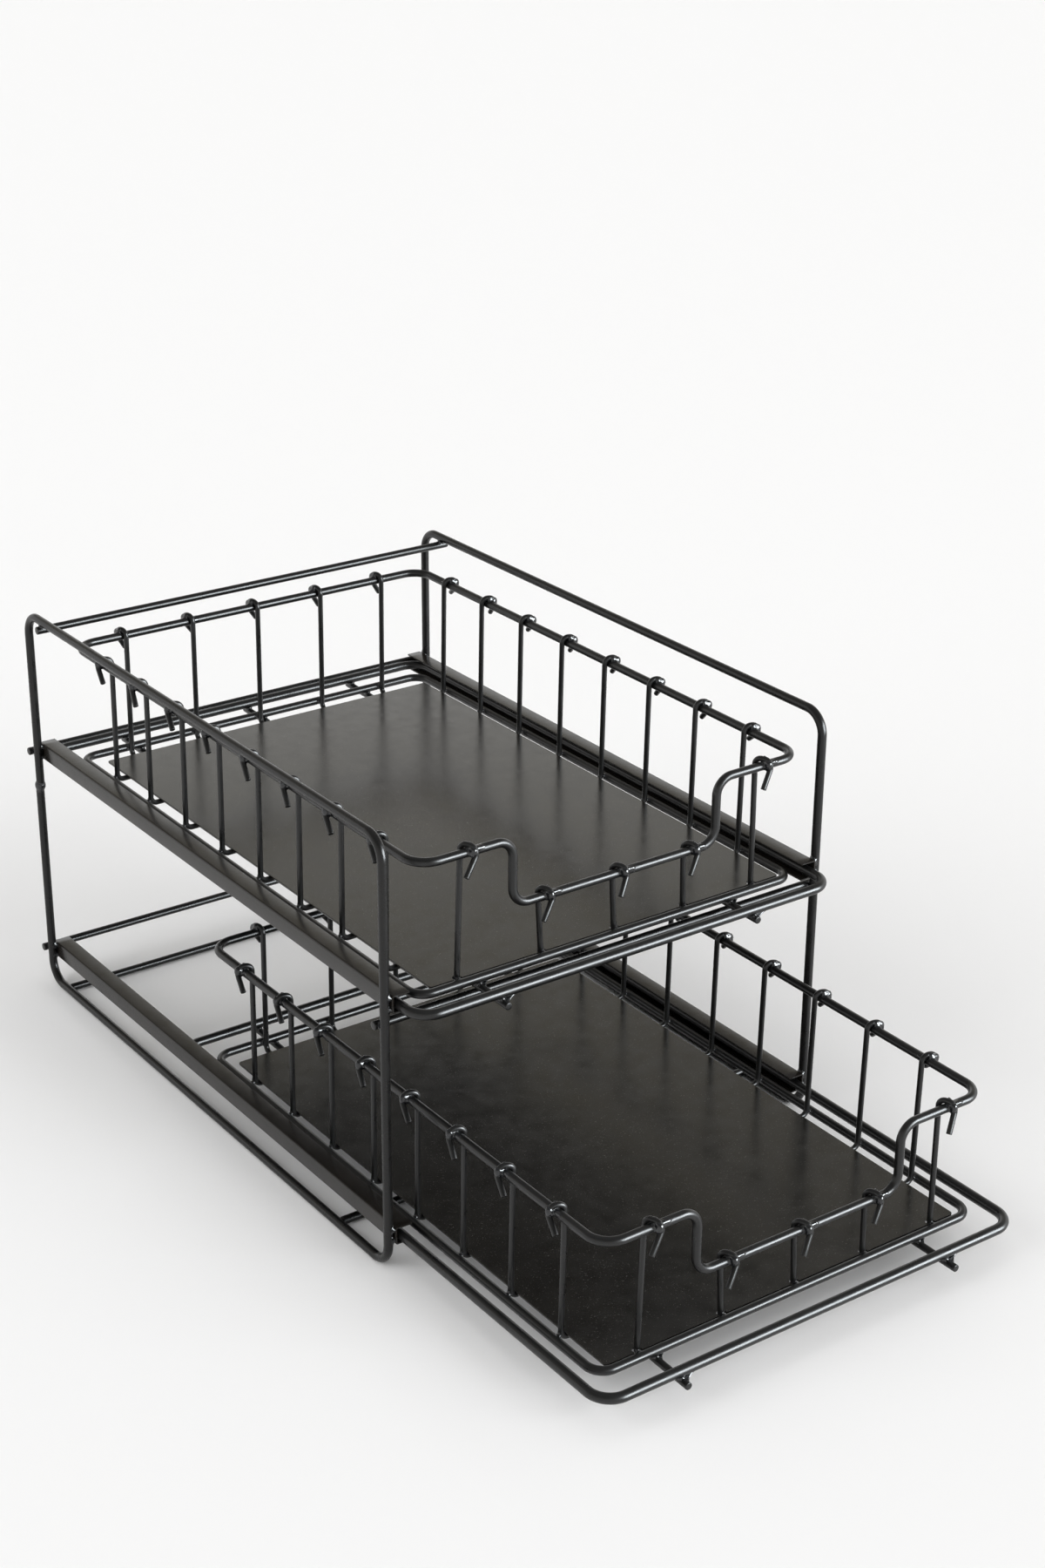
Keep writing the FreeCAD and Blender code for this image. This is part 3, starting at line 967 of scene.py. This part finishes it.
def rail_welds(shells, node, side, post_x, wire_r, rng):
    """Four short weld beads that hold a rail to the posts."""
    low, high = corners(node)
    x = side * post_x
    for y in (-FRAME_DEPTH_HALF, FRAME_DEPTH_HALF):
        for z in (low[2] + RAIL_WELD_INSET, high[2] - RAIL_WELD_INSET):
            at = np.array([x - side * (wire_r - RAIL_WELD_SINK), y, z])
            bead, half = at - side * ALONG_X * RAIL_BEAD_OUT, ALONG_Y * RAIL_BEAD_HALF
            melt(shells, at, [
                ((x, y, z - RAIL_WELD_RUN), (x, y, z + RAIL_WELD_RUN), wire_r),
                (bead - half, bead + half, RAIL_BEAD_RADIUS),
            ], *RAIL_WELD, rng.integers(SEED_RANGE), rough=0.3)


def channel(node, side):
    """A rolled C channel: rounded bends, and the sheet's cut edges eased."""
    low, high = corners(node)
    web_x = max(abs(low[0]), abs(high[0]))
    edge_x = min(abs(low[0]), abs(high[0]))
    outer, inner = RAIL_CORNER, RAIL_INNER_CORNER
    turns = [
        (web_x, low[2], outer), (web_x, high[2], outer),
        (edge_x, high[2], RAIL_EASE), (edge_x, high[2] - RAIL_SHEET, RAIL_EASE),
        (web_x - RAIL_SHEET, high[2] - RAIL_SHEET, inner),
        (web_x - RAIL_SHEET, low[2] + RAIL_SHEET, inner),
        (edge_x, low[2] + RAIL_SHEET, RAIL_EASE), (edge_x, low[2], RAIL_EASE),
    ]
    outline = rounded([(side * x, 0, z) for x, z, _ in turns], [bend for _, _, bend in turns],
                      closed=True, arc_step=18.0, run_step=50.0)
    inward = side * np.cross(directions(outline, True), ALONG_Y)
    front, back = low[1], high[1]
    stations = [(front + run, inset) for run, inset in RAIL_END]
    stations += [(y, 0.0) for y in np.linspace(front + RAIL_STATIONS_FROM,
                                               back - RAIL_STATIONS_FROM, RAIL_STATIONS)]
    stations += [(back - run, inset) for run, inset in RAIL_END[::-1]]
    rings = [outline + inward * inset + ALONG_Y * y for y, inset in stations]
    count, last = len(outline), (len(rings) - 1) * len(outline)
    faces = band_faces(len(rings), count)
    faces += [tuple(range(count))[::-1], tuple(range(last, last + count))]
    if side > 0:
        faces = [face[::-1] for face in faces]
    shells = Shells()
    shells.add(np.concatenate(rings), faces)
    flat_ends(shells.make(node + "_channel", [RAIL_COAT, WELD_COAT], "frame", "rail_sheet",
                          node))


fixed_frame()
for tier, seed in BASKET_SEEDS.items():
    basket(tier, seed)

# ---------------------------------------------------------------- stage, light and camera
# From here on lengths are in metres.

FLOOR_HALF = 30.0
FLOOR_WHITE = (0.905, 0.905, 0.91, 1)
# the plain room around the object, by height above the horizon (sine) and colour
ROOM = ((0.0, (0.95, 0.95, 0.96)), (0.36, (1.42, 1.42, 1.40)), (0.43, (0.45, 0.41, 0.30)),
        (0.60, (0.27, 0.26, 0.255)), (1.0, (0.42, 0.42, 0.42)))
# it is brightest toward the back right, and falls to this share on the other side
ROOM_BRIGHT_WAY = (0.583, 0.8125, 0.0)
ROOM_DARK_SIDE = 0.65
ROOM_TURN = (-0.25, 0.35)

# broad, soft fills: direction of the light, strength, spread in degrees and colour
FILLS = {
    "overhead_fill": ((-0.25, 0.55, -1.0), 0.5, 100, (0.98, 0.99, 1.0)),
    "left_fill": ((0.70, 0.60, -0.80), 0.6, 110, (1.0, 0.99, 0.965)),
    "low_left_fill": ((1.0, -0.15, -0.45), 1.6, 50, (0.98, 0.99, 1.0)),
    "low_front_fill": ((-0.45, 1.0, -0.33), 2.3, 40, (0.98, 0.99, 1.0)),
}

WINDOW_PLACE = Vector((1.75, -2.75, 0.85))
WINDOW_TARGET = Vector((0, 0, 0.2))
WINDOW_SIZE = (2.4, 1.6)
WINDOW_POWER = 300
WINDOW_COLOUR = (0.90, 0.96, 1.0)

CAMERA_AZIMUTH = -35.66
CAMERA_ELEVATION = 23.60
CAMERA_ROLL = 0.43
CAMERA_PLACE = Vector((-0.75769, -1.17274, 0.78447))
CAMERA_LENS = 58.87
CAMERA_SENSOR = 36.0
CAMERA_CLIP = (0.05, 60.0)


def floor():
    mesh = bpy.data.meshes.new("floor")
    s = FLOOR_HALF
    mesh.from_pydata([(-s, -s, 0), (s, -s, 0), (s, s, 0), (-s, s, 0)], [], [(0, 1, 2, 3)])
    made = bpy.data.materials.new("pale_floor")
    made.use_nodes = True
    shader = made.node_tree.nodes["Principled BSDF"]
    shader.inputs["Base Color"].default_value = FLOOR_WHITE
    shader.inputs["Roughness"].default_value = 0.7
    shader.inputs["Specular IOR Level"].default_value = 0.2
    mesh.materials.append(made)
    plane = bpy.data.objects.new("floor", mesh)
    bpy.context.scene.collection.objects.link(plane)


def room():
    """Soft light from all around: pale behind the object, dim overhead and in front."""
    world = bpy.data.worlds.new("studio")
    bpy.context.scene.world = world
    world.use_nodes = True
    nodes, links = world.node_tree.nodes, world.node_tree.links
    place = nodes.new("ShaderNodeTexCoord")
    axes = nodes.new("ShaderNodeSeparateXYZ")
    links.new(place.outputs["Generated"], axes.inputs["Vector"])
    ramp = nodes.new("ShaderNodeValToRGB")
    links.new(axes.outputs["Z"], ramp.inputs["Fac"])
    steps = ramp.color_ramp.elements
    while len(steps) < len(ROOM):
        steps.new(0.5)
    for step, (height, colour) in zip(steps, ROOM):
        step.position = height
        step.color = (*colour, 1)
    turn = nodes.new("ShaderNodeVectorMath")
    turn.operation = "DOT_PRODUCT"
    turn.inputs[1].default_value = ROOM_BRIGHT_WAY
    links.new(place.outputs["Generated"], turn.inputs[0])
    side = nodes.new("ShaderNodeMapRange")
    side.interpolation_type = "SMOOTHSTEP"
    side.inputs["From Min"].default_value = ROOM_TURN[0]
    side.inputs["From Max"].default_value = ROOM_TURN[1]
    side.inputs["To Min"].default_value = ROOM_DARK_SIDE
    side.inputs["To Max"].default_value = 1.0
    links.new(turn.outputs["Value"], side.inputs["Value"])
    background = nodes["Background"]
    links.new(ramp.outputs["Color"], background.inputs["Color"])
    links.new(side.outputs["Result"], background.inputs["Strength"])


def fill(name, toward, strength, spread, colour):
    """A wide sun that lights surfaces but leaves no highlight on the gloss."""
    data = bpy.data.lights.new(name, "SUN")
    data.energy = strength
    data.angle = math.radians(spread)
    data.color = colour
    lamp = bpy.data.objects.new(name, data)
    bpy.context.scene.collection.objects.link(lamp)
    lamp.rotation_euler = Vector(toward).to_track_quat("-Z", "Y").to_euler()
    lamp.visible_glossy = False


def window():
    """A bright window low in front, that only makes the gloss lines along the wires."""
    data = bpy.data.lights.new("window", "AREA")
    data.shape = "RECTANGLE"
    data.size, data.size_y = WINDOW_SIZE
    data.energy = WINDOW_POWER
    data.color = WINDOW_COLOUR
    lamp = bpy.data.objects.new("window", data)
    bpy.context.scene.collection.objects.link(lamp)
    lamp.location = WINDOW_PLACE
    lamp.rotation_euler = (WINDOW_TARGET - WINDOW_PLACE).to_track_quat("-Z", "Y").to_euler()
    lamp.visible_diffuse = False
    wires = bpy.data.collections.new("lit_by_window")
    for piece in bpy.context.scene.objects:
        if piece.name.endswith(("_wire", "_wires", "_bar")):
            wires.objects.link(piece)
    lamp.light_linking.receiver_collection = wires


def camera():
    azimuth, elevation = math.radians(CAMERA_AZIMUTH), math.radians(CAMERA_ELEVATION)
    backward = Vector((math.sin(azimuth) * math.cos(elevation),
                       -math.cos(azimuth) * math.cos(elevation), math.sin(elevation)))
    right = (-backward).cross(Vector((0, 0, 1))).normalized()
    upward = right.cross(-backward)
    level = Matrix((right, upward, backward)).transposed()
    data = bpy.data.cameras.new("camera")
    data.lens = CAMERA_LENS
    data.sensor_width = CAMERA_SENSOR
    data.clip_start, data.clip_end = CAMERA_CLIP
    view = bpy.data.objects.new("camera", data)
    bpy.context.scene.collection.objects.link(view)
    view.matrix_world = (Matrix.Translation(CAMERA_PLACE) @ level.to_4x4()
                         @ Matrix.Rotation(math.radians(CAMERA_ROLL), 4, "Z"))
    bpy.context.scene.camera = view


floor()
room()
for name, settings in FILLS.items():
    fill(name, *settings)
window()
camera()
bpy.context.scene.view_settings.view_transform = "Standard"
